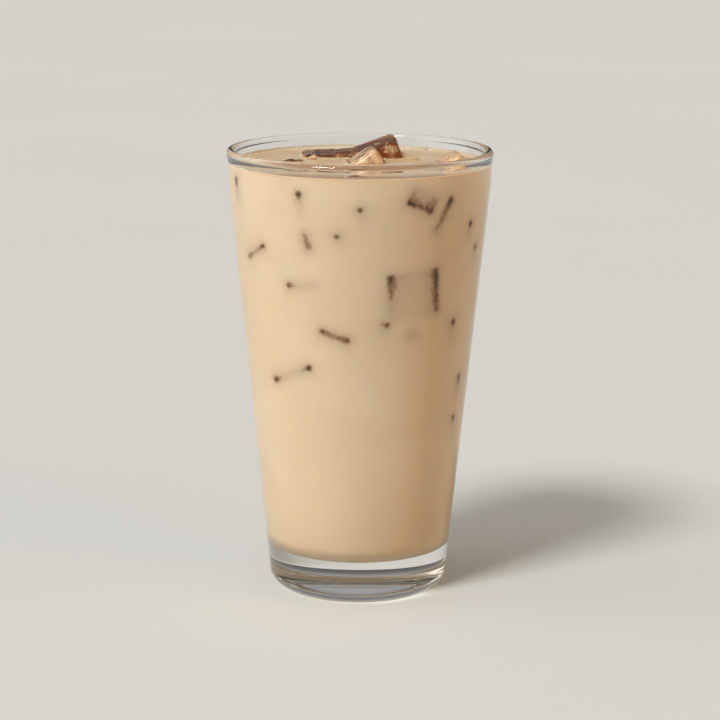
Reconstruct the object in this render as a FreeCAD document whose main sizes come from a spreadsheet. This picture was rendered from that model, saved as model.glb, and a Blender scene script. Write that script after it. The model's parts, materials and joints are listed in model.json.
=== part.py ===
import FreeCAD, Part
import Sketcher

import math
import os

# Iced chai latte in its tapered mixing glass.
# Millimetres, +Z up, origin at the centre of the foot, where the glass stands.
# The front of the drink faces -Y.

DIMENSIONS = {
    # the glass outside
    "glass_height": 150.0,
    "rim_radius": 44.5,
    "bead_stand": 0.45,  # how far the rounded lip stands proud of the neck outside
    "bead_tuck": 0.1,  # and inside
    "shoulder_drop": 11.5,  # the straight taper ends this far below the rim
    "shoulder_step": 0.8,  # the shoulder is this much slimmer than the rim
    "base_radius": 29.5,  # where the taper would meet the table
    "heel_round": 6.5,
    # the glass inside
    "wall_at_neck": 2.45,
    "wall_at_shoulder": 2.6,
    "wall_at_base": 4.0,
    "base_thickness": 14.5,
    "corner_round": 6.0,  # between the inner wall and the inner floor
    "punt_inset": 3.0,  # from the heel's rounding in to the shallow hollow under the foot
    "punt_depth": 2.2,
    # the drink
    "head_space": 4.6,  # from the drink's surface up to the rim
    "fill_gap": 0.1,  # between the drink and the glass
    # the ice that stands out of the drink
    "ice_side": 19.0,
    "ice_small": 14.0,
    "slab_width": 13.6,
    "slab_depth": 16.5,
    "slab_height": 14.0,
    "ice_round": 2.6,  # melted edges
    "ice_seat": 0.1,  # between a piece of ice and the drink round it
    "ice_gap": 0.5,  # least gap between neighbouring pieces
    "ice_to_wall": 0.3,  # least gap between a piece and the glass
    # where the ice floats; a rise is from the surface up to a piece's highest point
    "row_line": 8.0,  # between the back row of ice and the middle row
    "peak_right": 6.5,
    "peak_rise": 6.5,
    "slab_rise": 1.6,
    "front_right": 2.6,
    "front_rise": 4.8,
    "side_rise": 3.7,
    "bump_apart": 8.4,  # between the front piece and the low piece on its left
    "bump_rise": 1.1,
    "fore_right": 1.0,
    "fore_to_wall": 4.0,
    "fore_rise": 0.9,
}

# How the shared outlines follow from those, as expressions on the sheet's cells.
SHOULDER_HEIGHT = "dims.glass_height - dims.shoulder_drop"
SHOULDER_OUTER = "dims.rim_radius - dims.shoulder_step"
SHOULDER_INNER = f"{SHOULDER_OUTER} - dims.wall_at_shoulder"
NECK_OUTER = "dims.rim_radius - dims.bead_stand"
NECK_INNER = f"{NECK_OUTER} - dims.wall_at_neck"
LIP_ROUND = "(dims.wall_at_neck + dims.bead_stand + dims.bead_tuck) / 2"
LIP_CENTRE = f"dims.rim_radius - {LIP_ROUND}"
LIP_HEIGHT = f"dims.glass_height - {LIP_ROUND}"
NECK_DROP = f"sqrt(({LIP_ROUND})^2 - ({LIP_ROUND} - dims.bead_stand)^2)"
MOUTH_DROP = f"sqrt(({LIP_ROUND})^2 - ({LIP_ROUND} - dims.bead_tuck)^2)"
FLOOR_OUTER = (
    f"dims.base_radius + ({SHOULDER_OUTER} - dims.base_radius)"
    f" * dims.base_thickness / ({SHOULDER_HEIGHT})"
)
FLOOR_INNER = f"{FLOOR_OUTER} - dims.wall_at_base"
DRINK_LEVEL = "dims.glass_height - dims.head_space"
PUNT_RADIUS = "dims.base_radius - dims.heel_round - dims.punt_inset"
NECK_SHARE = f"(dims.shoulder_drop - dims.head_space) / (dims.shoulder_drop - {LIP_ROUND} - {MOUTH_DROP})"
LEVEL_INNER = f"{SHOULDER_INNER} + ({NECK_INNER} - ({SHOULDER_INNER})) * {NECK_SHARE}"

# Each profile corner is (name, radius, height) or, where an arc leads on to the next
# corner, (name, radius, height, radius of the arc's centre, a point near the arc's middle).
GLASS_PROFILE = [
    ("punt_crown", "0", "dims.punt_depth", "0", (f"({PUNT_RADIUS}) / 2", "dims.punt_depth * 0.75")),
    ("punt_edge", PUNT_RADIUS, "0"),
    ("heel", "dims.base_radius", "0"),
    ("shoulder", SHOULDER_OUTER, SHOULDER_HEIGHT),
    ("neck", NECK_OUTER, f"{LIP_HEIGHT} - {NECK_DROP}", LIP_CENTRE, (LIP_CENTRE, "dims.glass_height")),
    ("mouth", NECK_INNER, f"{LIP_HEIGHT} - {MOUTH_DROP}"),
    ("inner_shoulder", SHOULDER_INNER, SHOULDER_HEIGHT),
    ("inner_corner", FLOOR_INNER, "dims.base_thickness"),
    ("floor", "0", "dims.base_thickness"),
]
DRINK_PROFILE = [
    ("bottom", "0", "dims.base_thickness + dims.fill_gap"),
    ("corner", f"{FLOOR_INNER} - dims.fill_gap", "dims.base_thickness + dims.fill_gap"),
    ("shoulder", f"{SHOULDER_INNER} - dims.fill_gap", SHOULDER_HEIGHT),
    ("waterline", f"{LEVEL_INNER} - dims.fill_gap", DRINK_LEVEL),
    ("surface", "0", DRINK_LEVEL),
]

# Each piece of ice: its width, depth and height, and how it lies, as yaw about Z, then
# pitch about Y, then roll about X, in degrees. A negative pitch lifts its right side.
ICE = {
    "ice_peak": (("ice_side", "ice_side", "ice_side"), (0.0, -21.0, 3.0)),
    "ice_slab": (("slab_width", "slab_depth", "slab_height"), (4.0, -2.0, 2.0)),
    "ice_front": (("ice_small", "ice_small", "ice_small"), (5.0, -33.0, 0.0)),
    "ice_right": (("ice_small", "ice_small", "ice_small"), (8.0, -36.0, 0.0)),
    "ice_bump": (("ice_small", "ice_small", "ice_small"), (24.0, -20.0, 22.0)),
    "ice_fore": (("ice_small", "ice_small", "ice_small"), (12.0, 10.0, -14.0)),
}
GLASS_DENSITY = 2.5e-6  # kg per cubic millimetre
DRINK_DENSITY = 1.03e-6
ICE_DENSITY = 0.917e-6

doc = FreeCAD.newDocument("iced_chai_latte")


def make_sheet():
    """The spreadsheet that holds every driving dimension under its own name."""
    made = doc.addObject("Spreadsheet::Sheet", "dims")
    for row, (alias, value) in enumerate(DIMENSIONS.items(), start=1):
        made.set(f"A{row}", alias)
        made.set(f"B{row}", str(value))
        made.setAlias(f"B{row}", alias)
    doc.recompute()
    return made


sheet = make_sheet()


def number(expression):
    """The value of an expression on the sheet, as a plain number."""
    return float(sheet.evalExpression(expression))


# ---- bodies turned from a profile


def new_body(name):
    """A PartDesign body with a label of its own."""
    body = doc.addObject("PartDesign::Body", name)
    body.Label = name
    return body


def profile_sketch(body, name):
    """An empty sketch on the body's XZ plane, where X is the radius and Y the height."""
    sketch = body.newObject("Sketcher::SketchObject", name)
    plane = next(item for item in body.Origin.OriginFeatures if item.Role == "XZ_Plane")
    sketch.AttachmentSupport = [(plane, "")]
    sketch.MapMode = "FlatFace"
    return sketch


def bind(sketch, kind, item, end, label, expression):
    """Ties one coordinate of a sketch point to an expression on the sheet."""
    at = sketch.addConstraint(Sketcher.Constraint(kind, -1, 1, item, end, number(expression)))
    sketch.renameConstraint(at, label)
    sketch.setExpression(f"Constraints.{label}", expression)


def end_at(sketch, item, spot):
    """Which end of a sketch item, 1 or 2, lies at a spot."""
    gaps = [(sketch.getPoint(item, end) - spot).Length for end in (1, 2)]
    return 1 + gaps.index(min(gaps))


def draw_profile(sketch, corners):
    """Draws the closed outline and ties each of its corners to the sheet."""
    spots = [FreeCAD.Vector(number(corner[1]), number(corner[2]), 0) for corner in corners]
    items = []
    for corner, start, stop in zip(corners, spots, spots[1:] + spots[:1]):
        edge = Part.LineSegment(start, stop)
        if len(corner) > 3:
            middle = FreeCAD.Vector(number(corner[4][0]), number(corner[4][1]), 0)
            edge = Part.Arc(start, middle, stop)
        items.append(sketch.addGeometry(edge))
    for corner, spot, item, before in zip(corners, spots, items, items[-1:] + items[:-1]):
        head = end_at(sketch, item, spot)
        tail = end_at(sketch, before, spot)
        sketch.addConstraint(Sketcher.Constraint("Coincident", before, tail, item, head))
        bind(sketch, "DistanceX", item, head, f"{corner[0]}_radius", corner[1])
        bind(sketch, "DistanceY", item, head, f"{corner[0]}_height", corner[2])
        if len(corner) > 3:
            bind(sketch, "DistanceX", item, 3, f"{corner[0]}_arc_centre", corner[3])


def turned_body(name, corners):
    """A body of one full revolution of an outline about Z."""
    body = new_body(name)
    sketch = profile_sketch(body, f"{name}_profile")
    draw_profile(sketch, corners)
    turn = body.newObject("PartDesign::Revolution", f"{name}_turned")
    turn.Profile = sketch
    turn.ReferenceAxis = (sketch, ["V_Axis"])
    turn.Angle = 360.0
    doc.recompute()
    return body


def round_ring(body, name, radius, height, rounding):
    """A fillet on the body's ring-shaped edge nearest to a radius and a height."""
    base = body.Tip
    best = None
    for index, edge in enumerate(base.Shape.Edges, start=1):
        if edge.Degenerated or not isinstance(edge.Curve, Part.Circle):
            continue
        miss = abs(edge.Curve.Radius - number(radius)) + abs(edge.Curve.Center.z - number(height))
        if best is None or miss < best[0]:
            best = (miss, f"Edge{index}")
    fillet = body.newObject("PartDesign::Fillet", name)
    fillet.Base = (base, [best[1]])
    fillet.setExpression("Radius", rounding)
    doc.recompute()


def make_glass():
    """The glass: straight taper, slight shoulder, rounded lip, thick foot with a punt."""
    body = turned_body("glass", GLASS_PROFILE)
    round_ring(body, "heel_rounding", "dims.base_radius", "0", "dims.heel_round")
    round_ring(body, "corner_rounding", FLOOR_INNER, "dims.base_thickness", "dims.corner_round")
    return body


def make_fill():
    """The drink before the ice is taken out of it, on the glass's own inner outline."""
    body = turned_body("drink_fill", DRINK_PROFILE)
    radius, height = DRINK_PROFILE[1][1:]
    round_ring(body, "fill_rounding", radius, height, "dims.corner_round - dims.fill_gap")
    return body


# ---- ice


def turn_of(name):
    """The rotation that a piece of ice lies at."""
    return FreeCAD.Rotation(*ICE[name][1])


def reach(name, direction):
    """How far a melted block reaches from its centre along a direction: the reach of
    its sharp core, smaller by the rounding all round, plus the rounding."""
    rounding = number("dims.ice_round")
    total = rounding
    for alias, axis in zip(ICE[name][0], ((1, 0, 0), (0, 1, 0), (0, 0, 1))):
        across = turn_of(name).multVec(FreeCAD.Vector(*axis)).dot(FreeCAD.Vector(*direction))
        total += abs(across) * (number(f"dims.{alias}") / 2 - rounding)
    return total


def half_extents(name):
    """A piece's half width, half depth and half height as it lies."""
    return [reach(name, axis) for axis in ((1, 0, 0), (0, 1, 0), (0, 0, 1))]


def inner_radius(height):
    """Radius of the glass's inner wall at a height on its straight taper."""
    share = (height - number("dims.base_thickness")) / number(f"{SHOULDER_HEIGHT} - dims.base_thickness")
    return number(FLOOR_INNER) + share * (number(SHOULDER_INNER) - number(FLOOR_INNER))


def run_to_wall(height, off_axis, gap):
    """How far along one axis the inner wall lies, at a distance off that axis, less a gap."""
    return math.sqrt(inner_radius(height) ** 2 - off_axis ** 2) - gap


def place_ice():
    """Centres of the pieces, each set against its neighbours, the glass or the surface."""
    level = number(DRINK_LEVEL)
    gap = number("dims.ice_gap")
    row_line = number("dims.row_line")
    wide, deep, tall = {}, {}, {}
    for name in ICE:
        wide[name], deep[name], tall[name] = half_extents(name)
    rises = {
        "ice_peak": "peak_rise",
        "ice_slab": "slab_rise",
        "ice_front": "front_rise",
        "ice_right": "side_rise",
        "ice_bump": "bump_rise",
        "ice_fore": "fore_rise",
    }
    up = {name: level + number(f"dims.{rise}") - tall[name] for name, rise in rises.items()}

    right, back = {}, {}
    for name in ("ice_peak", "ice_slab"):
        back[name] = row_line + deep[name]
    for name in ("ice_front", "ice_right", "ice_bump"):
        back[name] = row_line - gap - deep[name]
    right["ice_peak"] = number("dims.peak_right")
    right["ice_slab"] = right["ice_peak"] - wide["ice_peak"] - gap - wide["ice_slab"]
    right["ice_front"] = number("dims.front_right")
    apart = number("dims.bump_apart")
    right["ice_bump"] = right["ice_front"] - wide["ice_front"] - apart - wide["ice_bump"]
    off_axis = abs(back["ice_right"]) + deep["ice_right"]
    to_wall = run_to_wall(up["ice_right"], off_axis, number("dims.ice_to_wall"))
    right["ice_right"] = to_wall - wide["ice_right"]
    right["ice_fore"] = number("dims.fore_right")
    off_axis = abs(right["ice_fore"]) + wide["ice_fore"]
    to_wall = run_to_wall(up["ice_fore"], off_axis, number("dims.fore_to_wall"))
    back["ice_fore"] = deep["ice_fore"] - to_wall
    return {name: FreeCAD.Vector(right[name], back[name], up[name]) for name in ICE}


def melted_block(name, sides, swell, centre, turn):
    """A block with melted edges about a centre, larger all round by the swell."""
    body = new_body(name)
    box = body.newObject("PartDesign::AdditiveBox", f"{name}_block")
    for side, axis, alias in zip(("Length", "Width", "Height"), "xyz", sides):
        box.setExpression(side, f"dims.{alias} + 2 * {swell}")
        box.setExpression(f"Placement.Base.{axis}", f"-dims.{alias} / 2 - {swell}")
    doc.recompute()
    melt = body.newObject("PartDesign::Fillet", f"{name}_melt")
    melt.Base = (box, ["Face1"])
    melt.UseAllEdges = True
    melt.setExpression("Radius", f"dims.ice_round + {swell}")
    body.Placement = FreeCAD.Placement(centre, turn)
    doc.recompute()
    return body


def make_ice():
    """The pieces of ice, and the hollow that each one takes up in the drink."""
    pieces, hollows = [], []
    for name, centre in place_ice().items():
        sides = ICE[name][0]
        pieces.append(melted_block(name, sides, "0", centre, turn_of(name)))
        hollow = name.replace("ice_", "hollow_")
        hollows.append(melted_block(hollow, sides, "dims.ice_seat", centre, turn_of(name)))
    return pieces, hollows


def make_drink(fill, hollows):
    """The drink: the fill, cut round each piece of ice."""
    tools = doc.addObject("Part::MultiFuse", "ice_hollows")
    tools.Shapes = hollows
    drink = doc.addObject("Part::Cut", "drink")
    drink.Label = "drink"
    drink.Base = fill
    drink.Tool = tools
    doc.recompute()
    return drink


# ---- checks and files


def check_document(nodes):
    """Stops on a failed feature, or on a node that is not one sound solid."""
    for item in doc.Objects:
        if "Invalid" in item.State or "Error" in item.State:
            raise RuntimeError(f"{item.Label} failed: {item.State}")
    for node in nodes:
        shape = node.Shape
        if shape.isNull() or not shape.isValid() or len(shape.Solids) != 1:
            raise RuntimeError(f"{node.Label} is not one sound solid")


def report(glass, drink, ice):
    """Prints what was made: volumes, weights and the gaps round the ice."""
    ice_volume = sum(piece.Shape.Volume for piece in ice)
    weight = glass.Shape.Volume * GLASS_DENSITY
    weight += drink.Shape.Volume * DRINK_DENSITY + ice_volume * ICE_DENSITY
    print(f"glass {glass.Shape.Volume / 1000:.1f} ml, drink {drink.Shape.Volume / 1000:.1f} ml")
    print(f"floating ice {ice_volume / 1000:.1f} ml, whole weight {weight:.3f} kg")
    for index, piece in enumerate(ice):
        box = piece.Shape.BoundBox
        to_glass = piece.Shape.distToShape(glass.Shape)[0]
        others = [other for other in ice if other is not piece]
        nearest = min(piece.Shape.distToShape(other.Shape)[0] for other in others)
        print(
            f"{piece.Label}: x {box.XMin:.1f} {box.XMax:.1f}, y {box.YMin:.1f} {box.YMax:.1f},"
            f" z {box.ZMin:.1f} {box.ZMax:.1f}, to glass {to_glass:.2f}, to ice {nearest:.2f}"
        )


glass = make_glass()
fill = make_fill()
ice, hollows = make_ice()
drink = make_drink(fill, hollows)
doc.recompute()

nodes = [glass, drink] + ice
check_document(nodes)
report(glass, drink, ice)

os.makedirs("parts", exist_ok=True)
for node in nodes:
    node.Shape.exportStep(f"parts/{node.Label}.step")
print(f"wrote {len(nodes)} nodes")
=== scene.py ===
# %% [markdown]
# # Iced milk tea in a tapered glass
#
# The drink is a tall glass with a rounded foot, filled almost to the rim with cold milk tea.
# Blocks of ice float at the top, and more ice is sunk in the tea, where it only shows as
# dark spots and strokes of painted shade at the places that lean on the glass.
#
# The construction model gives the sizes. This script loads it as a frame, and dresses each
# of its nodes with a finer mesh and a finish.

import json
from math import cos, pi, radians, sin

import bpy
import numpy as np
from mathutils import Matrix

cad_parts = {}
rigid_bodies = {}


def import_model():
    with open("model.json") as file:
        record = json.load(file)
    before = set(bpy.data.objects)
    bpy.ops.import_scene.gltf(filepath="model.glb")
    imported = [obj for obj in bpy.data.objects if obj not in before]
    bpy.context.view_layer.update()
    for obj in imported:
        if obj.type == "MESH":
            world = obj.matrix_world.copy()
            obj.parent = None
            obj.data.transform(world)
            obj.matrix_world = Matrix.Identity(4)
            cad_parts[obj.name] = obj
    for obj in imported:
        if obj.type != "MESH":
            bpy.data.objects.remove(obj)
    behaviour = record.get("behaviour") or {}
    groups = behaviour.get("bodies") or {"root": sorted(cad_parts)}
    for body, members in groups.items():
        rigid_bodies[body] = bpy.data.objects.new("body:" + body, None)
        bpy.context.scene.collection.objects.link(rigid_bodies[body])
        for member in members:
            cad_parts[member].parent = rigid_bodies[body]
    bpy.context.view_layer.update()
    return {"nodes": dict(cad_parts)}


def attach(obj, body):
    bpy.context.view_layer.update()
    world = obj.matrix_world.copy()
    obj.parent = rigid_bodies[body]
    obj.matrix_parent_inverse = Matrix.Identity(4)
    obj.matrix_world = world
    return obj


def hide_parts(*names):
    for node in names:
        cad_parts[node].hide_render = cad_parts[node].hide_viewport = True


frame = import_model()
MM = 0.001
print("nodes:", sorted(frame["nodes"]))

# %% [markdown]
# ## Meshes from numpy
#
# Every new piece is a surface over a grid of two parameters. Blender could make such forms
# with its own primitives and modifiers, but a formula worked out as whole arrays is exact,
# quick, and easy to change. The two helpers here turn arrays into meshes: one for any grid,
# and one for a profile that is turned about the upright axis, as on a lathe.


# %% A mesh object from arrays
def add_piece(name, points, faces, node=None, slot=None):
    """Makes a mesh object from an array of points in millimetres and arrays of corner numbers."""
    mesh = bpy.data.meshes.new(name)
    rows = [row for group in faces for row in np.asarray(group).tolist()]
    mesh.from_pydata((np.asarray(points) * MM).tolist(), [], rows)
    mesh.polygons.foreach_set("use_smooth", np.full(len(rows), True))
    mesh.validate()
    mesh.update()
    piece = bpy.data.objects.new(name, mesh)
    bpy.context.collection.objects.link(piece)
    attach(piece, "root")
    if node:
        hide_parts(node)
    print(f"{name}: {len(points)} points, {len(rows)} faces")
    return piece


# %% A turned surface
def turned(outline, turns):
    """Points and faces of an outline of (radius, height) turned about the upright axis.

    x = r cos a, y = r sin a and z = h, for a going once round. The outline starts and ends
    on the axis, where a ring shrinks to one point. It runs up the outside, so that the
    faces look outwards."""
    radius, height = np.asarray(outline, float)[1:-1].T
    angle = np.arange(turns) * 2 * pi / turns
    rings = np.stack(
        [
            np.outer(radius, np.cos(angle)),
            np.outer(radius, np.sin(angle)),
            np.repeat(height[:, None], turns, 1),
        ],
        -1,
    )
    ends = [[0, 0, outline[0][1]], [0, 0, outline[-1][1]]]
    number = np.arange(radius.size * turns).reshape(-1, turns)
    onward = np.roll(number, -1, 1)
    quads = np.stack([number[:-1], onward[:-1], onward[1:], number[1:]], -1).reshape(-1, 4)
    low, high = number.size, number.size + 1
    first = np.stack([onward[0], number[0], np.full(turns, low)], -1)
    last = np.stack([number[-1], onward[-1], np.full(turns, high)], -1)
    return np.concatenate([rings.reshape(-1, 3), ends]), [quads, first, last]


# %% Arcs and runs of an outline
def arc(centre, radius, start, end, count):
    """Points of a circle's arc: centre + radius (cos t, sin t), t from start to end degrees."""
    t = np.radians(np.linspace(start, end, count))
    return np.stack([centre[0] + radius * np.cos(t), centre[1] + radius * np.sin(t)], -1)


def run(start, end, count):
    """Points of a straight run, with both ends."""
    share = np.linspace(0, 1, count)[:, None]
    return (1 - share) * np.asarray(start, float) + share * np.asarray(end, float)


# %% [markdown]
# ## Finishes as Python expressions
#
# A material is a tree of nodes. Instead of wiring them by hand, a socket is wrapped in a
# small class, so that `1 - mask` or `a * b + c` adds the Math nodes. Colours and vectors go
# through Mix and Vector Math, since a Math node would turn a colour grey. One method makes
# any other node.


# %% A socket that can be calculated with
class Value:
    """An output socket. Its operators add Math nodes to the tree that it belongs to."""

    def __init__(self, home, socket):
        self.home, self.socket = home, socket

    def maths(self, operation, first, second=0.0):
        return self.home.node("ShaderNodeMath", {"operation": operation}, {0: first, 1: second})

    def __add__(self, other):
        return self.maths("ADD", self, other)

    def __sub__(self, other):
        return self.maths("SUBTRACT", self, other)

    def __rsub__(self, other):
        return self.maths("SUBTRACT", other, self)

    def __mul__(self, other):
        return self.maths("MULTIPLY", self, other)

    def __truediv__(self, other):
        return self.maths("DIVIDE", self, other)

    __radd__ = __add__
    __rmul__ = __mul__

    def least(self, other):
        return self.maths("MINIMUM", self, other)

    def most(self, other):
        return self.maths("MAXIMUM", self, other)

    def decay(self, length):
        """exp(-value / length)."""
        return self.maths("EXPONENT", self * (-1 / length))

    def ramp(self, low, high):
        """0 below low, 1 above high, and a smooth step between."""
        settings = {"interpolation_type": "SMOOTHSTEP", "clamp": True}
        return self.home.node("ShaderNodeMapRange", settings, {0: self, 1: low, 2: high})


# %% A tree of nodes
class Tree:
    """The nodes of a material or of the room, with one method that adds any node."""

    def __init__(self, owner):
        owner.use_nodes = True
        self.tree = owner.node_tree

    def feed(self, socket, value):
        """Links a socket to a calculated value, or sets it to a plain one."""
        if isinstance(value, Value):
            self.tree.links.new(value.socket, socket)
        elif isinstance(value, tuple) and len(value) == 3 and socket.type == "RGBA":
            socket.default_value = (*value, 1)
        else:
            socket.default_value = value

    def node(self, kind, settings=None, sockets=None, output=0):
        """Adds a node: its settings first, then the values or links of its sockets."""
        node = self.tree.nodes.new(kind)
        for name, value in (settings or {}).items():
            setattr(node, name, value)
        for name, value in (sockets or {}).items():
            self.feed(node.inputs[name], value)
        return Value(self, node.outputs[output])


# %% A finish
class Finish(Tree):
    """A material with a Principled shader."""

    def __init__(self, name, **constants):
        self.material = bpy.data.materials.new(name)
        super().__init__(self.material)
        self.shader = self.tree.nodes["Principled BSDF"]
        self.set(**constants)

    def set(self, **sockets):
        """Sets or links the shader's sockets. Base_Color stands for Base Color."""
        for name, value in sockets.items():
            self.feed(self.shader.inputs[name.replace("_", " ")], value)

    def place(self):
        return self.node("ShaderNodeTexCoord", output="Object")

    def along(self, axis):
        """The place along "X", "Y" or "Z", in millimetres."""
        return self.node("ShaderNodeSeparateXYZ", {}, {0: self.place()}, axis) / MM

    def vector(self, operation, first, second=(0.0, 0.0, 0.0), output="Vector"):
        """Vector Math on one vector or two."""
        settings, sockets = {"operation": operation}, {0: first, 1: second}
        return self.node("ShaderNodeVectorMath", settings, sockets, output)

    def length(self, vector):
        """How long a vector is, in millimetres."""
        return self.vector("LENGTH", vector, output="Value") / MM

    def surface(self):
        """What the Principled shader gives, to be mixed with another shader."""
        return Value(self, self.shader.outputs[0])

    def mix(self, share, first, second):
        """A colour between two, by share."""
        sockets = {0: share, 6: first, 7: second}
        return self.node("ShaderNodeMix", {"data_type": "RGBA"}, sockets, 2)

    def noise(self, scale, detail=2.0, where=None):
        """A cloudy pattern from 0 to 1, with about scale lumps to the metre."""
        sockets = {"Vector": where or self.place(), "Scale": scale, "Detail": detail}
        return self.node("ShaderNodeTexNoise", {}, sockets)

    def bump(self, height, distance, strength=1.0):
        sockets = {"Height": height, "Distance": distance, "Strength": strength}
        return self.node("ShaderNodeBump", {}, sockets)


def tone(red, green, blue):
    """A colour given as it looks on a screen, 0 to 255, as linear light."""
    share = np.array([red, green, blue]) / 255
    linear = np.where(share <= 0.04045, share / 12.92, ((share + 0.055) / 1.055) ** 2.4)
    return tuple(float(value) for value in linear)


# %% [markdown]
# ## The glass
#
# It is a pressed tumbler: a thick solid foot with a shallow hollow below, a heel rounded by
# 6.5 mm, a straight flaring wall, a soft shoulder and a fire-polished lip. One outline, up
# the outside and down the inside, is turned about the axis. That keeps the wall's true
# thickness, which is what bends the light at the edges.

# %% The glass's sizes
PUNT_RADIUS, PUNT_DEPTH = 20.0, 2.2
FOOT_RADIUS, HEEL_ROUND = 29.5, 6.5
SHOULDER, NECK = (43.7, 138.5), (43.98, 144.8)
SHOULDER_ROUND, FLARE_BEND = 40.0, (44.13, 146.9)
LIP_CENTRE, LIP_ROUND, LIP_FLARE = (43.0, 148.5), 1.5, 11
INNER_SHOULDER, FLOOR_CORNER, FLOOR_ROUND = (41.1, 138.5), (26.99, 14.5), 6.0
GLASS_TURNS = 192
print("glass:", FOOT_RADIUS, "mm foot radius,", LIP_CENTRE[0] + LIP_ROUND, "mm rim radius")


# %% Round corners and curves of an outline
def rounded_corner(corner, before, after, radius, count):
    """The arc of that radius that touches both straight runs that meet at a corner."""
    corner = np.asarray(corner, float)
    ways = [np.asarray(point, float) - corner for point in (before, after)]
    ways = [way / np.linalg.norm(way) for way in ways]
    half = np.arccos(ways[0] @ ways[1]) / 2
    middle = (ways[0] + ways[1]) / np.linalg.norm(ways[0] + ways[1])
    centre = corner + middle * radius / sin(half)
    start, end = (corner + way * radius / np.tan(half) - centre for way in ways)
    first = np.arctan2(start[1], start[0])
    sweep = (np.arctan2(end[1], end[0]) - first + pi) % (2 * pi) - pi
    t = first + sweep * np.linspace(0, 1, count)
    return centre + radius * np.stack([np.cos(t), np.sin(t)], -1)


def sweep_to(start, middle, end, count):
    """A curve from start to end, drawn towards middle: (1-t)^2 a + 2t(1-t) b + t^2 c."""
    t = np.linspace(0, 1, count)[:, None]
    start, middle, end = (np.asarray(point, float) for point in (start, middle, end))
    return (1 - t) ** 2 * start + 2 * t * (1 - t) * middle + t**2 * end


def through(*parts):
    """One outline from parts that share their end points."""
    return np.concatenate([parts[0]] + [part[1:] for part in parts[1:]])


# %% The glass's outline
punt_sphere = (PUNT_RADIUS**2 + PUNT_DEPTH**2) / (2 * PUNT_DEPTH)
punt_radius = np.linspace(0, PUNT_RADIUS, 14)
punt_height = np.sqrt(punt_sphere**2 - punt_radius**2) - punt_sphere + PUNT_DEPTH
punt = np.stack([punt_radius, punt_height], -1)
heel = rounded_corner((FOOT_RADIUS, 0), (0, 0), SHOULDER, HEEL_ROUND, 20)
shoulder = rounded_corner(SHOULDER, heel[-1], NECK, SHOULDER_ROUND, 9)
lip = arc(LIP_CENTRE, LIP_ROUND, -LIP_FLARE, 182, 30)
flare = sweep_to(NECK, FLARE_BEND, lip[0], 12)
inner_shoulder = rounded_corner(INNER_SHOULDER, lip[-1], FLOOR_CORNER, SHOULDER_ROUND, 9)
floor_centre = (0, FLOOR_CORNER[1])
inner_corner = rounded_corner(FLOOR_CORNER, INNER_SHOULDER, floor_centre, FLOOR_ROUND, 16)
glass_outline = through(
    punt,
    run(punt[-1], heel[0], 5),
    heel,
    run(heel[-1], shoulder[0], 24),
    shoulder,
    run(shoulder[-1], NECK, 5),
    flare,
    lip,
    run(lip[-1], inner_shoulder[0], 8),
    inner_shoulder,
    run(inner_shoulder[-1], inner_corner[0], 24),
    inner_corner,
    run(inner_corner[-1], floor_centre, 12),
)
print("glass outline:", len(glass_outline), "points")

# %% Turn the glass
glass = add_piece("tumbler", *turned(glass_outline, GLASS_TURNS), node="glass", slot="glass")

# %% [markdown]
# ### Clear glass
#
# Pressed glass is clear, very smooth and faintly green in its thick parts. It could be made
# of a Glass shader; the Principled shader with full transmission does the same and keeps one
# kind of finish for all pieces. A very faint bump makes its reflections waver. Lamps are let
# through unbent, because bent light from lamps would need far more samples.

# %% The glass's finish
clear = Finish("clear_glass", Roughness=0.0, IOR=1.5, Transmission_Weight=1.0)
clear.set(
    Base_Color=clear.mix(clear.noise(25), (0.985, 0.995, 0.985), (1.0, 1.0, 1.0)),
    Normal=clear.bump(clear.noise(90, 2.0), 0.02 * MM, 0.4),
)


def let_light_through(finish, tint, shader=None):
    """Lamps shine straight through a clear piece, so that what is inside it is lit."""
    plain = finish.node("ShaderNodeBsdfTransparent", {}, {0: tint})
    shadow = finish.node("ShaderNodeLightPath", output="Is Shadow Ray")
    sockets = {0: shadow, 1: shader or finish.surface(), 2: plain}
    both = finish.node("ShaderNodeMixShader", {}, sockets)
    finish.feed(finish.tree.nodes["Material Output"].inputs[0], both)


let_light_through(clear, (0.95, 0.97, 0.95))
glass.data.materials.append(clear.material)
print("clear glass:", len(clear.tree.nodes), "nodes")

# %% [markdown]
# ## Blocks of ice
#
# A block is a rounded box whose faces have melted a little. Its surface is a function of two
# parameters on each of six faces. The point of a box is pulled back to the box less its
# rounding, and then pushed out by the rounding, so that faces, edges and corners all come
# from one formula. The grids below say how many points lie along an edge.


# %% A melted block
MELT, MELT_SIZE = 0.35, 9.0


def ripples(points, size, seed):
    """Smooth bumps about size apart, mostly from -1 to 1: 1.8 times the mean of twelve sine
    waves in seeded directions."""
    dice = np.random.default_rng(seed)
    waves = dice.normal(size=(12, 3)) * 2 * pi / size / 1.7
    return np.sin(points @ waves.T + dice.uniform(0, 2 * pi, 12)).mean(-1) * 1.8


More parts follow.
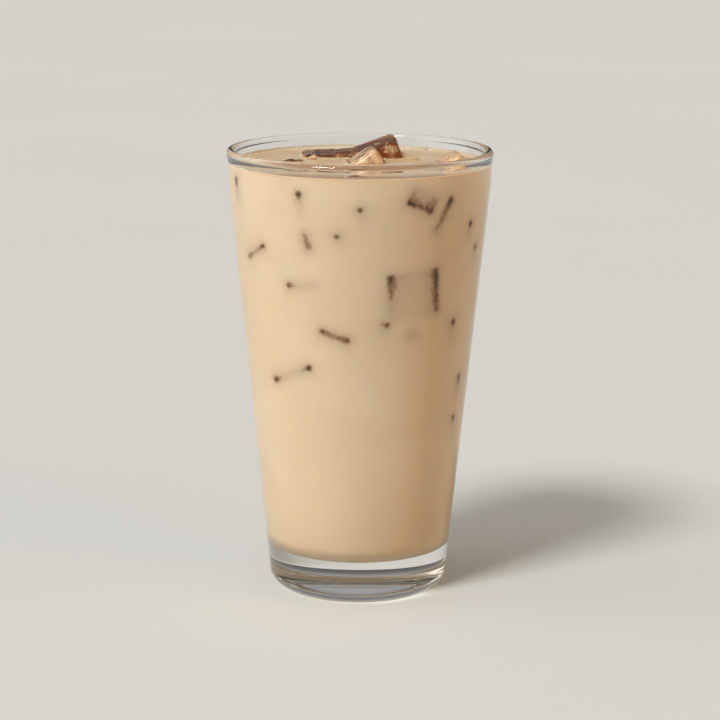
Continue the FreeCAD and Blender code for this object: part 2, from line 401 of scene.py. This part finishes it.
def block(size, rounding, seed, count):
    """Points and faces of a rounded box about the origin, with its faces melted inwards.

    A point c of the box is first brought into the core, which is the box less the rounding,
    and then moved out from there by the rounding, less up to MELT for the ripples. Points
    that two faces share are merged."""
    half = np.asarray(size, float) / 2
    line = np.linspace(-1, 1, count)
    u, v = (part.ravel() for part in np.meshgrid(line, line, indexing="ij"))
    one = np.ones_like(u)
    sides = [
        np.stack([one, u, v], -1), np.stack([-one, v, u], -1),
        np.stack([v, one, u], -1), np.stack([u, -one, v], -1),
        np.stack([u, v, one], -1), np.stack([v, u, -one], -1),
    ]
    cube = np.concatenate(sides) * half
    core = np.clip(cube, rounding - half, half - rounding)
    out = cube - core
    out /= np.linalg.norm(out, axis=1)[:, None]
    points = core + rounding * out
    worn = np.clip(ripples(points, MELT_SIZE, seed), -1, 1)
    points -= out * (MELT * (0.5 + 0.5 * worn))[:, None]
    number = np.arange(count * count).reshape(count, count)
    quads = np.stack([number[:-1, :-1], number[1:, :-1], number[1:, 1:], number[:-1, 1:]], -1)
    faces = np.concatenate([quads.reshape(-1, 4) + side * count * count for side in range(6)])
    cube = np.round(cube, 4)
    first, where = np.unique(cube, axis=0, return_index=True, return_inverse=True)[1:]
    return points[first], where.ravel()[faces]


def turn(yaw, pitch, roll):
    """The matrix that rolls about x, then pitches about y, then yaws about z, in degrees."""
    a, b, c = (radians(angle) for angle in (yaw, pitch, roll))
    about_z = np.array([[cos(a), -sin(a), 0], [sin(a), cos(a), 0], [0, 0, 1]])
    about_y = np.array([[cos(b), 0, sin(b)], [0, 1, 0], [-sin(b), 0, cos(b)]])
    about_x = np.array([[1, 0, 0], [0, cos(c), -sin(c)], [0, sin(c), cos(c)]])
    return about_z @ about_y @ about_x


# %% [markdown]
# ### The ice that floats
#
# Six blocks come from the construction model, with its places, sizes and turns. Loose
# splinters lie between them, and one flat piece links the tilted block with the slab beside
# it. The chips are small blocks by the same formula, which suits worn ice better than sharp
# shards would. A row of the tables holds a centre, three sizes, and the yaw, pitch and roll
# in degrees, and for a chip its rounding too. LEVEL is how high the tea stands.

# %% Where the ice floats
LEVEL = 145.15
ICE_ROUND, SEAT_GAP = 2.6, 0.16
MAIN_GRID, SEAT_GRID, CHIP_GRID, CHIP_SEEDS = 40, 26, 16, 20
FLOATING = {
    "peak": ((6.5, 17.85, 140.05), (19, 19, 19), (0, -21, 3)),
    "slab": ((-12.95, 16.7, 139.65), (13.6, 16.5, 14), (4, -2, 2)),
    "front": ((2.6, 0, 141.5), (14, 14, 14), (5, -33, 0)),
    "right": ((30.9, -0.3, 140.35), (14, 14, 14), (8, -36, 0)),
    "bump": ((-24.0, -2.35, 137.0), (14, 14, 14), (24, -20, 22)),
    "fore": ((1.0, -27.05, 137.7), (14, 14, 14), (12, 10, -14)),
}
CHIPS = {
    "link": ((-4.6, 15.0, 145.2), (8.4, 9.0, 5.2), (3, -9, 2), 1.4),
    "chip": ((-15.9, 5.9, 145.4), (3.0, 2.6, 2.2), (25, -20, 14), 0.4),
    "splinter": ((-20.8, 1.6, 145.2), (2.4, 3.4, 1.4), (60, 8, -6), 0.35),
    "crumb": ((17.5, 6.0, 145.3), (4.2, 2.6, 1.6), (-18, 6, 10), 0.5),
}
print("level:", LEVEL, "mm - blocks:", len(FLOATING), "- chips:", len(CHIPS))

# %% Add the floating ice
floating_blocks, floating_ice, seat_cutters = [], {}, []


def float_block(seed, name, centre, size, angles, rounding, count, node=None):
    """Adds a block of ice that floats, and keeps its core box for the distance formula."""
    points, faces = block(size, rounding, seed, count)
    turned_by = turn(*angles)
    floating_ice[name] = add_piece(
        f"floating_{name}", points @ turned_by.T + centre, [faces], node, "ice"
    )
    core = np.array(size) / 2 - rounding
    floating_blocks.append((np.array(centre), turned_by, core, rounding))


for seed, (name, (centre, size, angles)) in enumerate(FLOATING.items()):
    float_block(seed, name, centre, size, angles, ICE_ROUND, MAIN_GRID, f"ice_{name}")
    points, faces = block(np.array(size) - SEAT_GAP, ICE_ROUND, seed, SEAT_GRID)
    seat_cutters.append((points @ turn(*angles).T + centre, faces))
for seed, (name, (centre, size, angles, rounding)) in enumerate(CHIPS.items()):
    float_block(CHIP_SEEDS + seed, name, centre, size, angles, rounding, CHIP_GRID)

# %% [markdown]
# ## Ice that is sunk in the tea
#
# Milk tea hides what is more than a millimetre deep, so a sunk block shows only where an
# edge or a corner of it leans on the glass. Each row of the table says where the two ends of
# that edge are: the turn round the glass from the front, the height, and the gap to the
# wall. Then come the lean, which turns the block about this edge, its two depths behind the
# edge, and its rounding. A level edge touches the round wall at its two ends only, and then
# shows as a pair of dots. A gap just below zero widens a dot; it is less than what the tea
# reaches into the wall.

# %% Where the sunk ice leans
SUNK_GRID, SUNK_SEEDS = 20, 50
SUNK = [
    ((-69.8, 141.4, 0.04), (-69.2, 135.0, 0.7), 30, (4.2, 4.6), 1.4),
    ((-27.6, 140.0, 0.02), (-26.6, 132.6, 1.5), 38, (6.5, 7.5), 1.6),
    ((-25.3, 126.8, 0.24), (-23.9, 123.1, 0.14), 52, (7, 6.5), 2.4),
    ((-10.1, 127.1, 0.14), (-6.5, 121.5, 3.6), 42, (6, 7), 1.7),
    ((0.2, 135.8, 0.07), (1.0, 131.4, 2.0), 50, (3.2, 3.2), 1.5),
    ((-62.9, 116.9, 0.06), (-50.4, 121.5, 0.02), 40, (8, 8.5), 1.3),
    ((-35.6, 109.8, 0.0), (-22.5, 110.4, 0.75), 50, (8.5, 8), 1.7),
    ((-18.4, 95.2, 0.02), (-6.4, 92.6, -0.02), 45, (9, 10), 2.1),
    ((-49.5, 76.8, -0.03), (-26.8, 82.4, -0.03), 45, (11, 10), 1.9),
    ((22.6, 138.0, -0.04), (33.0, 134.9, -0.04), 1.6, (8, 8.8), 2.6),
    ((43.8, 137.6, -0.05), (37.0, 128.4, 0.26), 6, (6, 4.2), 2.0),
    ((60.4, 128.6, -0.03), (60.3, 125.0, 0.8), 45, (6, 6), 1.9),
    ((68.4, 120.0, 0.02), (67.7, 116.2, 1.8), 45, (5, 5), 1.8),
    ((38.6, 114.5, -0.04), (41.0, 101.8, 0.10), 76.4, (19.4, 11), 2.3),
    ((27.6, 93.8, 0.5), (28.6, 89.6, 2.4), 45, (6.5, 6.5), 3.0),
    ((14.0, 97.6, 0.0), (13.2, 93.6, 2.0), 78, (4.2, 4.2), 1.5),
    ((54.4, 96.2, -0.03), (54.8, 90.5, 1.3), 45, (7, 8), 1.9),
    ((66.7, 76.0, -0.04), (66.5, 69.5, 0.8), 45, (8, 8), 1.8),
    ((65.6, 62.0, -0.02), (66.4, 55.5, 1.7), 45, (8, 7), 1.8),
    ((97.0, 126.5, 0.05), (100.0, 119.0, 0.7), 45, (8, 8), 1.6),
    ((104.0, 104.0, 0.0), (122.0, 109.5, 0.05), 45, (11, 10), 1.8),
    ((131.0, 134.0, 0.1), (128.0, 127.5, 1.2), 40, (7, 7), 1.5),
    ((140.0, 120.5, 0.03), (153.0, 116.0, 0.1), 48, (9, 9), 1.6),
    ((163.0, 136.5, 0.08), (164.0, 130.0, 1.6), 45, (6, 7), 1.5),
    ((167.0, 102.0, 0.0), (170.5, 90.0, 0.12), 75, (17, 10), 1.9),
    ((190.0, 128.0, 0.12), (191.5, 121.0, 0.2), 50, (7, 7), 2.0),
    ((203.0, 137.0, 0.02), (212.0, 133.5, 0.05), 8, (8, 7.0), 1.8),
    ((207.0, 86.0, 0.04), (223.0, 90.5, 0.02), 45, (10, 10), 1.7),
    ((228.0, 122.0, 0.06), (231.0, 113.5, 0.9), 42, (8, 8), 1.5),
    ((243.0, 104.0, 0.1), (243.5, 97.0, 1.4), 45, (7, 7), 1.5),
    ((252.0, 132.0, 0.05), (263.0, 128.5, 0.1), 45, (8, 8), 1.5),
    ((262.0, 82.0, 0.08), (263.0, 75.0, 1.2), 45, (8, 7), 1.5),
    ((150.0, 70.0, 0.1), (151.0, 63.0, 1.4), 45, (8, 8), 1.5),
]
print("sunk blocks:", len(SUNK))

# %% A block that leans on the wall
WALL_FLARE = (INNER_SHOULDER[0] - FLOOR_CORNER[0]) / (INNER_SHOULDER[1] - FLOOR_CORNER[1])


def on_wall(angle, height, inward):
    """A point that far inside the inner wall, at an angle from the front."""
    radius = FLOOR_CORNER[0] + WALL_FLARE * (height - FLOOR_CORNER[1]) - inward
    return np.array([radius * sin(radians(angle)), -radius * cos(radians(angle)), height])


def leaning_block(start, end, lean, depths, rounding):
    """Centre, turn, core half sizes and rounding of a block whose edge runs between two
    places on the wall. The core is the box less its rounding."""
    first, last = (on_wall(*place[:2], place[2] + rounding) for place in (start, end))
    along = (last - first) / np.linalg.norm(last - first)
    inward = -(first + last) * [0.5, 0.5, 0]
    inward -= inward @ along * along
    inward /= np.linalg.norm(inward)
    aside = np.cross(inward, along)
    a = cos(radians(lean)) * inward + sin(radians(lean)) * aside
    b = sin(radians(lean)) * inward - cos(radians(lean)) * aside
    core = np.array([np.linalg.norm(last - first), *(d - 2 * rounding for d in depths)]) / 2
    centre = (first + last) / 2 + a * core[1] + b * core[2]
    return centre, np.stack([along, a, b], 1), core, rounding


# %% Add the sunk ice
sunk_blocks = [leaning_block(*row) for row in SUNK]
sunk_ice = []
for number, (centre, turned_by, core, rounding) in enumerate(sunk_blocks):
    points, faces = block(2 * (core + rounding), rounding, SUNK_SEEDS + number, SUNK_GRID)
    sunk_ice.append(
        add_piece(f"sunk_ice_{number + 1}", points @ turned_by.T + centre, [faces], slot="ice")
    )

# %% [markdown]
# ### Distance to the ice
#
# The climb of the tea round the ice, the froth and the tea's colour all need to know how far
# a point is from the nearest block. For a rounded box this is one short formula, so that no
# search through the meshes is needed.


# %% How far a point is from blocks
def gap_to(points, blocks):
    """The distance from points to the nearest block: the length of what sticks out of its
    core box, less the rounding."""
    gaps = []
    for centre, turned_by, core, rounding in blocks:
        outside = np.maximum(np.abs((points - centre) @ turned_by) - core, 0)
        gaps.append(np.linalg.norm(outside, axis=-1) - rounding)
    return np.min(gaps, 0)


# %% [markdown]
# ### Wet ice
#
# Ice bends light less than glass does, and holds cloudy parts. Milk tea clings to it: most
# of all on the blocks that were under the tea a moment ago. Three finishes differ in how
# much of the surface is coated. The coat could be a mesh of its own, but a second shader
# mixed in by a cloudy mask follows the surface with no gap.


# %% The ice's finish
def milk_coat(finish, share, colour):
    """A skin of tea over part of a piece: a Mix Shader's factor is how much of it shows."""
    skin = finish.node(
        "ShaderNodeBsdfPrincipled",
        {},
        {"Base Color": colour, "Roughness": 0.22, "IOR": 1.34, "Subsurface Weight": 0.0},
    )
    sockets = {0: share, 1: finish.surface(), 2: skin}
    return finish.node("ShaderNodeMixShader", {}, sockets)


def ice_finish(name, coat, light, dark):
    """Clear wet ice. Tea clings to it more near the waterline and in cloudy patches."""
    ice = Finish(
        name, Roughness=0.03, IOR=1.31, Transmission_Weight=1.0, Specular_IOR_Level=0.25
    )
    cloud = ice.noise(260, 4.0)
    wet = 1 - ice.along("Z").ramp(LEVEL + 0.3, LEVEL + 2.2)
    cling = (cloud.ramp(0.62 - 0.5 * coat, 0.80 - 0.5 * coat) + wet * 0.35 * coat).least(0.93)
    colour = ice.mix(ice.noise(500, 2.0).ramp(0.3, 0.7), light, dark)
    ice.set(
        Base_Color=ice.mix(cloud.ramp(0.35, 0.65), tone(226, 200, 172), tone(242, 226, 204)),
        Normal=ice.bump(ice.noise(520, 3.0), 0.00012, 0.6),
    )
    let_light_through(ice, (0.8, 0.72, 0.62), milk_coat(ice, cling, colour))
    return ice.material


# %% Put the finishes on the ice
bare = ice_finish("bare_ice", 0.22, tone(204, 158, 114), tone(158, 110, 72))
veiled = ice_finish("veiled_ice", 0.6, tone(236, 206, 168), tone(190, 146, 104))
coated = ice_finish("coated_ice", 1.0, tone(232, 196, 154), tone(206, 164, 122))
coats = {"front": veiled, "crumb": veiled, "right": coated, "chip": coated}
for name, piece in floating_ice.items():
    piece.data.materials.append(coats.get(name, bare))
for piece in sunk_ice:
    piece.data.materials.append(bare)
print("with a coat of tea:", sorted(coats), "- sunk and bare:", len(sunk_ice))

# %% [markdown]
# ## The milk tea
#
# The tea fills the glass up to a few millimetres below the rim, and reaches a few hundredths
# of a millimetre into the wall, so that no air gap shows. Its top is almost flat. It climbs
# a little where it meets the glass and the ice, which is the meniscus, so the rings of its
# grid lie closer together towards the wall.

# %% The tea's top
REACH = 0.06
TURNS, TOP_RINGS, CROWDING = 384, 140, 0.85
WALL_CLIMB, ICE_CLIMB, CLIMB_EDGE = (0.3, 0.6), (0.45, 0.55), 0.5
SWELL, SWELL_SIZE = 0.05, 12.0


def climb(distance, height, width):
    """The meniscus: height exp(-distance / width)."""
    return height * np.exp(-np.maximum(distance, 0) / width)


# %% The drink's outline
lip_inside = lip[-1]
neck_flare = (lip_inside[0] - INNER_SHOULDER[0]) / (lip_inside[1] - INNER_SHOULDER[1])
brim = INNER_SHOULDER[0] + neck_flare * (LEVEL - INNER_SHOULDER[1]) + REACH
inner = (INNER_SHOULDER[0] + REACH, INNER_SHOULDER[1])
low_corner = (FLOOR_CORNER[0] + REACH, FLOOR_CORNER[1] - REACH)
bottom = rounded_corner(low_corner, (0, low_corner[1]), inner, FLOOR_ROUND, 16)
top_radius = brim * np.linspace(1, 0, TOP_RINGS) ** CROWDING
top = np.stack([top_radius, LEVEL + climb(brim - top_radius, *WALL_CLIMB)], -1)
drink_outline = through(
    run((0, low_corner[1]), bottom[0], 5),
    bottom,
    run(bottom[-1], inner, 24),
    run(inner, top[0], 10),
    top,
)
print("drink outline:", len(drink_outline), "points,", round(2 * brim, 2), "mm across the top")

# %% Turn the drink, and let its top climb
drink_points, drink_faces = turned(drink_outline, TURNS)
surface = drink_points[:, 2] > LEVEL - 0.001
near_ice = np.maximum(gap_to(drink_points[surface], floating_blocks), 0)
inside = np.clip((brim - np.hypot(*drink_points[surface, :2].T)) / CLIMB_EDGE, 0, 1)
drink_points[surface, 2] += climb(near_ice, *ICE_CLIMB) * inside
waves = ripples(drink_points[surface] * [1, 1, 0], SWELL_SIZE, 7)
drink_points[surface, 2] += SWELL * waves * inside
drink = add_piece("milk_tea", drink_points, drink_faces, "drink", "drink")

# %% [markdown]
# ## Seats for the floating ice
#
# A floating block fills a hollow in the tea. The Boolean modifier cuts it, and its result is
# kept as the mesh. What cuts is a block that is a little smaller than the ice, so that the
# ice reaches into the tea and no air gap shows.

# %% Cut the seats
cutters = []
for number, (points, faces) in enumerate(seat_cutters):
    mesh = bpy.data.meshes.new("cutter")
    mesh.from_pydata((points * MM).tolist(), [], faces.tolist())
    cutter = bpy.data.objects.new(f"cutter_{number}", mesh)
    bpy.context.collection.objects.link(cutter)
    cutters.append(cutter)
    cut = drink.modifiers.new("seat", "BOOLEAN")
    cut.operation, cut.object, cut.solver = "DIFFERENCE", cutter, "EXACT"
drawn = drink.evaluated_get(bpy.context.evaluated_depsgraph_get())
cut_mesh = bpy.data.meshes.new_from_object(drawn)
drink.modifiers.clear()
drink.data = cut_mesh
cut_mesh.set_sharp_from_angle(angle=radians(40))
for cutter in cutters:
    bpy.data.objects.remove(cutter)
print("milk tea after the cut:", len(cut_mesh.polygons), "faces")

# %% [markdown]
# ## How the tea looks
#
# The tea is opaque and creamy. Near the foot it is painted a little darker, as painted shade.
# Its colour is worked out at each point of its surface. The nearness to a block of ice is the
# same distance formula as above, built of nodes, so that every mark lies exactly where the
# ice is.

# %% The tea's finish, and nearness as nodes
tea = Finish("milk_tea", Roughness=0.3, IOR=1.34, Specular_IOR_Level=0.3)
tea.set(Subsurface_Weight=1.0, Subsurface_Radius=(1.0, 0.5, 0.25), Subsurface_Scale=1.2 * MM)
CREAM, CREAM_WARM = (0.772, 0.618, 0.442), (0.745, 0.588, 0.406)
FOOT_SHADE, FOOT_SHADE_BELOW, FOOT_SHADE_END = (0.69, 0.51, 0.325), 10.0, 56.0


def nearness(finish, blocks, where):
    """The distance in millimetres to the nearest of the blocks."""
    nearest = None
    for centre, turned_by, core, rounding in blocks:
        angles = tuple(Matrix(turned_by.tolist()).to_euler("XYZ"))
        sockets = {0: where, 1: tuple(centre * MM), 2: angles}
        local = finish.node("ShaderNodeMapping", {"vector_type": "TEXTURE"}, sockets)
        local = finish.vector("SUBTRACT", finish.vector("ABSOLUTE", local), tuple(core * MM))
        gap = finish.length(finish.vector("MAXIMUM", local)) - rounding
        nearest = gap if nearest is None else nearest.least(gap)
    return nearest


height = tea.along("Z")
body = tea.mix(tea.noise(35, 3.0).ramp(0.35, 0.65), CREAM, CREAM_WARM)
# painted shade: the tea is darker towards the foot
body = tea.mix((1 - height.ramp(FOOT_SHADE_BELOW, FOOT_SHADE_END)) * 0.7, body, FOOT_SHADE)
print("tea's body:", len(tea.tree.nodes), "nodes")

# %% [markdown]
# ### Painted shade of the sunk ice
#
# Where a block touches the glass, the tea is painted with a dark core: painted shade for the
# dark inside of the ice. Further off, as if a few tenths of a millimetre of tea lay in front
# of it, the painted shade turns brown, then grey, and then fades out. The point is moved a
# little by a fine noise first, so that the marks have the ragged edge of melting ice.

# %% The marks: painted shade
ICE_SHADE_GREY, ICE_SHADE_BROWN, ICE_SHADE_DARK = tone(150, 120, 90), tone(136, 88, 50), tone(62, 52, 34)
GREY_FADE, BROWN_EDGE, DARK_EDGE, TOUCH, RAGGED = 0.9, 0.52, 0.17, 0.02, 0.5
shift = tea.node("ShaderNodeTexNoise", {}, {"Vector": tea.place(), "Scale": 700.0}, "Color")
shift = tea.vector("SUBTRACT", shift, (0.5, 0.5, 0.5))
shift = tea.vector("MULTIPLY", shift, (RAGGED * MM,) * 3)
gap = nearness(tea, sunk_blocks, tea.vector("ADD", tea.place(), shift)).most(0.0)
# painted shade of the ice's dark inside: grey, then brown, then a dark core at the glass
body = tea.mix(gap.decay(GREY_FADE) * 0.6, body, ICE_SHADE_GREY)
body = tea.mix(1 - gap.ramp(TOUCH, BROWN_EDGE), body, ICE_SHADE_BROWN)
body = tea.mix((1 - gap.ramp(TOUCH, DARK_EDGE)) * 0.9, body, ICE_SHADE_DARK)
print("marks of", len(sunk_blocks), "blocks:", len(tea.tree.nodes), "nodes so far")

# %% [markdown]
# ### The top and the hollows
#
# The top is painted darker than the tea's side, as painted shade, with a random swirl. Towards
# the front it is painted darker still, in streaks, as painted shade, and towards the back it is
# painted lighter with cream, as painted light. Along the edge it is lighter too: partly cream
# at the meniscus and partly painted light. In the hollows of the floating ice only a brown
# glow is left of the light, deeper with depth.

# %% The top: painted shade and painted light
# painted shade: the whole top is darker than the side
TOP_SHADE_DARK, TOP_SHADE_LIGHT = (0.60, 0.42, 0.245), (0.70, 0.53, 0.36)
FRONT_SHADE_DARK, FRONT_SHADE_LIGHT = tone(144, 100, 62), tone(182, 138, 96)
swirl = tea.noise(110, 4.0).ramp(0.35, 0.7)
top_shade_and_light = tea.mix(swirl, TOP_SHADE_DARK, TOP_SHADE_LIGHT)
to_back = tea.along("Y")
# painted shade: browner streaks towards the front
drift = tea.noise(70, 3.0) * 14.0 - to_back
streaks = tea.noise(160, 5.0, tea.vector("MULTIPLY", tea.place(), (1, 5, 1))).ramp(0.38, 0.62)
front_shade = tea.mix(streaks, FRONT_SHADE_DARK, FRONT_SHADE_LIGHT)
top_shade_and_light = tea.mix(drift.ramp(20.0, 38.0) * 0.85, top_shade_and_light, front_shade)
# painted light: cream towards the back
top_shade_and_light = tea.mix(to_back.ramp(26.0, 38.0) * 0.8, top_shade_and_light, CREAM)
radius = tea.length(tea.vector("MULTIPLY", tea.place(), (1, 1, 0)))
# cream along the edge: partly the meniscus, partly painted light
top_shade_and_light = tea.mix(radius.ramp(brim - 1.3, brim - 0.6) * 0.7, top_shade_and_light, CREAM)
body = tea.mix(height.ramp(LEVEL - 0.4, LEVEL - 0.1), body, top_shade_and_light)
print("with the top:", len(tea.tree.nodes), "nodes")

# %% The hollows
GLOW, DEEP, CHIP_SHADE = tone(170, 114, 68), tone(146, 94, 54), tone(122, 78, 44)
seat = nearness(tea, floating_blocks[: len(FLOATING)], tea.place())
under_chip = nearness(tea, floating_blocks[len(FLOATING) :], tea.place())
depth = (LEVEL + 0.2 - height).ramp(0.0, 7.0)
hollow = tea.mix(depth, GLOW, DEEP)
body = tea.mix(1 - seat.ramp(0.1, 0.3), body, hollow)
body = tea.mix(1 - under_chip.ramp(0.0, 0.2), body, CHIP_SHADE)
tea.set(Base_Color=body)
drink.data.materials.clear()
drink.data.materials.append(tea.material)
print("milk tea:", len(tea.tree.nodes), "nodes")

# %% [markdown]
# ## The film on the glass
#
# Where the tea was swirled, a thin film of milk clings to the glass just above it. It is a
# closed strip, a tenth of a millimetre thick at its foot, half of it inside the wall. Its
# upper edge is a sum of waves that each fit a whole number of times round the glass. It
# fades away upwards and towards the front, where the glass is almost clean.

# %% The film
FILM_TOP, FILM_FOOT, FILM_HALF, FILM_ROWS = 1.7, 0.2, 0.05, 9


def wall_inside(height):
    """The inner wall's radius in the neck: a straight taper."""
    return INNER_SHOULDER[0] + neck_flare * (height - INNER_SHOULDER[1])


angle = np.arange(TURNS) * 2 * pi / TURNS
dice = np.random.default_rng(5)
tide = sum(
    np.cos(count * angle + dice.uniform(0, 2 * pi)) / count**0.6
    for count in (2, 3, 5, 9, 14, 23, 37)
)
tide = FILM_TOP * (0.72 + 0.28 * tide / np.abs(tide).max())
rising = np.linspace(0, 1, FILM_ROWS)
loop = np.concatenate([rising, rising[::-1][1:-1]])
side = np.concatenate([np.full(FILM_ROWS, 1.0), np.full(FILM_ROWS - 2, -1.0)])
side[[0, FILM_ROWS - 1]] = 0
heights = LEVEL - FILM_FOOT + np.outer(loop, tide + FILM_FOOT)
radii = wall_inside(heights) + FILM_HALF * side[:, None] * (1 - 0.6 * loop[:, None])
film_points = np.stack([radii * np.cos(angle), radii * np.sin(angle), heights], -1)
number = np.arange(film_points[..., 0].size).reshape(len(loop), TURNS)
onward, above_it = np.roll(number, -1, 1), np.roll(number, -1, 0)
film_faces = np.stack([number, onward, np.roll(above_it, -1, 1), above_it], -1).reshape(-1, 4)
film = add_piece("milk_film", film_points.reshape(-1, 3), [film_faces], slot="drink")

# %% The film's finish
skim = Finish("milk_film", Roughness=0.25, IOR=1.34)
fade = 1 - skim.along("Z").ramp(LEVEL + 0.1, LEVEL + 1.5)
fade = fade * (0.12 + skim.along("Y").ramp(-24.0, 12.0))
skim.set(
    Base_Color=skim.mix(skim.noise(200), (0.66, 0.54, 0.39), (0.74, 0.64, 0.5)),
    Alpha=(fade * (0.35 + skim.noise(300, 3.0).ramp(0.3, 0.7) * 0.6)).least(0.9),
)
film.data.materials.append(skim.material)
print("film finish:", len(skim.tree.nodes), "nodes")

# %% [markdown]
# ### Froth
#
# Pouring leaves small bubbles, which drift to the glass and to the ice. Each is a ball of a
# few dozen faces, half sunk in the tea, and all of them are one mesh.

# %% Where the bubbles lie
AT_WALL, AT_ICE = 130, 90
SCATTER, SCATTER_REACH = 2500, 38
BALL_TURNS, BALL_STEPS = 10, 6
dice = np.random.default_rng(11)
ring = [
    (brim - 0.5 - dice.exponential(0.5), dice.uniform(-0.15 * pi, 1.15 * pi))
    for _ in range(AT_WALL)
]
spots = [(r * cos(a), r * sin(a)) for r, a in ring]
scattered = dice.uniform(-SCATTER_REACH, SCATTER_REACH, (SCATTER, 2))
level_points = np.column_stack([scattered, np.full(len(scattered), LEVEL)])
beside = gap_to(level_points, floating_blocks)
keep = (beside > 0.3) & (beside < 0.9) & (np.hypot(*scattered.T) < brim - 1.5)
spots += scattered[keep][:AT_ICE].tolist()
print("bubbles:", len(spots))

# %% The froth's mesh
polar = np.linspace(0, pi, BALL_STEPS + 1)[1:-1]
outline = [(0, -1)] + [(sin(t), -cos(t)) for t in polar] + [(0, 1)]
ball_points, ball_faces = turned(outline, BALL_TURNS)
sizes = np.clip(dice.exponential(0.22, len(spots)), 0.14, 0.6)
centres = np.column_stack([np.array(spots), LEVEL + 0.25 * sizes])
far = brim - 0.02 - np.hypot(*centres[:, :2].T)
sizes = np.minimum(sizes, np.maximum(far, 0.1))
froth_points = (centres[:, None] + sizes[:, None, None] * ball_points).reshape(-1, 3)
onward = (len(ball_points) * np.arange(len(spots)))[:, None, None]
froth_faces = [(rows + onward).reshape(-1, rows.shape[1]) for rows in ball_faces]
froth = add_piece("froth", froth_points, froth_faces, slot="drink")

# %% The froth's finish
bubble = Finish("froth", Roughness=0.08, IOR=1.34)
bubble.set(
    Base_Color=bubble.mix(bubble.noise(900), (0.62, 0.48, 0.33), (0.78, 0.68, 0.54)),
    Alpha=0.45 + 0.4 * bubble.noise(1500).ramp(0.4, 0.6),
)
froth.data.materials.append(bubble.material)
print("froth finish:", len(bubble.tree.nodes), "nodes")

# %% [markdown]
# ## The floor
#
# A plain pale floor catches the shadow. It is far wider than the view, and stands under the
# glass at height zero.

# %% The floor
FLOOR_REACH = 9000.0
corners = np.array([[-1, -1, 0], [1, -1, 0], [1, 1, 0], [-1, 1, 0]]) * FLOOR_REACH
mesh = bpy.data.meshes.new("floor")
mesh.from_pydata((corners * MM).tolist(), [], [(0, 1, 2, 3)])
ground = bpy.data.objects.new("floor", mesh)
bpy.context.collection.objects.link(ground)
pale = Finish("pale_floor", Roughness=0.8)
pale.set(Base_Color=pale.mix(pale.noise(3), tone(214, 214, 210), tone(218, 218, 214)))
ground.data.materials.append(pale.material)
print("floor:", [round(side, 3) for side in ground.dimensions], "m")

# %% [markdown]
# ## The light
#
# A large soft lamp stands to the left, high up, and throws the shadow to the right and back.
# A wide low light fills the left side, and a warm reflector the right side, where the tea
# turns golden. The reflector itself is kept out of the glass, which would show it as a
# yellow patch. Lamps that are very far away give the same light at any size of the part.


# %% The lamps
def sun(name, azimuth, elevation, strength, width, colour=(1, 1, 1)):
    """A lamp very far away. Azimuth 0 is behind the camera, and positive to its left."""
    lamp = bpy.data.lights.new(name, "SUN")
    lamp.color = colour
    lamp.energy, lamp.angle = strength, radians(width)
    holder = bpy.data.objects.new(name, lamp)
    holder.rotation_euler = (radians(90 - elevation), 0, radians(-azimuth))
    bpy.context.collection.objects.link(holder)
    return holder


sun("key", 40, 49, 2.12, 16)
sun("left", 85, 20, 0.8, 60)
reflector = sun("gold_reflector", -62, 14, 0.92, 60, (1.0, 0.56, 0.06))
reflector.visible_transmission = reflector.visible_glossy = False

# %% [markdown]
# ### The room
#
# The room gives an even pale light, darker towards the horizon, as in a studio. The darker
# horizon draws the edges of the glass as thin grey lines, which an even white would lose.

# %% The room's light
LEVEL_VIEW, HIGH_VIEW = 0.0, 0.5
AT_HORIZON, OVERHEAD = 0.08, 0.34
world = bpy.data.worlds.new("studio")
room = Tree(world)
way = room.node("ShaderNodeTexCoord", output="Generated")
upwards = room.node("ShaderNodeSeparateXYZ", {}, {0: way}, "Z")
settings = {"interpolation_type": "SMOOTHSTEP"}
sockets = {0: upwards, 1: LEVEL_VIEW, 2: HIGH_VIEW, 3: AT_HORIZON, 4: OVERHEAD}
background = room.tree.nodes["Background"]
room.feed(background.inputs["Color"], (1, 1, 1))
room.feed(background.inputs["Strength"], room.node("ShaderNodeMapRange", settings, sockets))
bpy.context.scene.world = world
print("room: strength", AT_HORIZON, "at the horizon,", OVERHEAD, "overhead")

# %% [markdown]
# ## The camera
#
# A long lens looks slightly down, so that the rim shows as a flat ellipse and the top of the
# tea is seen over it. The turn about the view axis is a third of a degree.

# %% The camera
camera = bpy.data.objects.new("camera", bpy.data.cameras.new("camera"))
PITCH, ROLL, PAN = 12.20, 0.33, 0.028
AWAY, UP, LENS, SENSOR = 819.8, 255.2, 123.9, 36
camera.matrix_world = (
    Matrix.Translation((0, -AWAY * MM, UP * MM))
    @ Matrix.Rotation(radians(-PAN), 4, "Z")
    @ Matrix.Rotation(radians(90 - PITCH), 4, "X")
    @ Matrix.Rotation(radians(ROLL), 4, "Z")
)
camera.data.lens, camera.data.sensor_width = LENS, SENSOR
bpy.context.collection.objects.link(camera)
bpy.context.scene.camera = camera
bpy.context.scene.view_settings.view_transform = "Standard"
print("camera:", LENS, "mm lens,", PITCH, "degrees down")
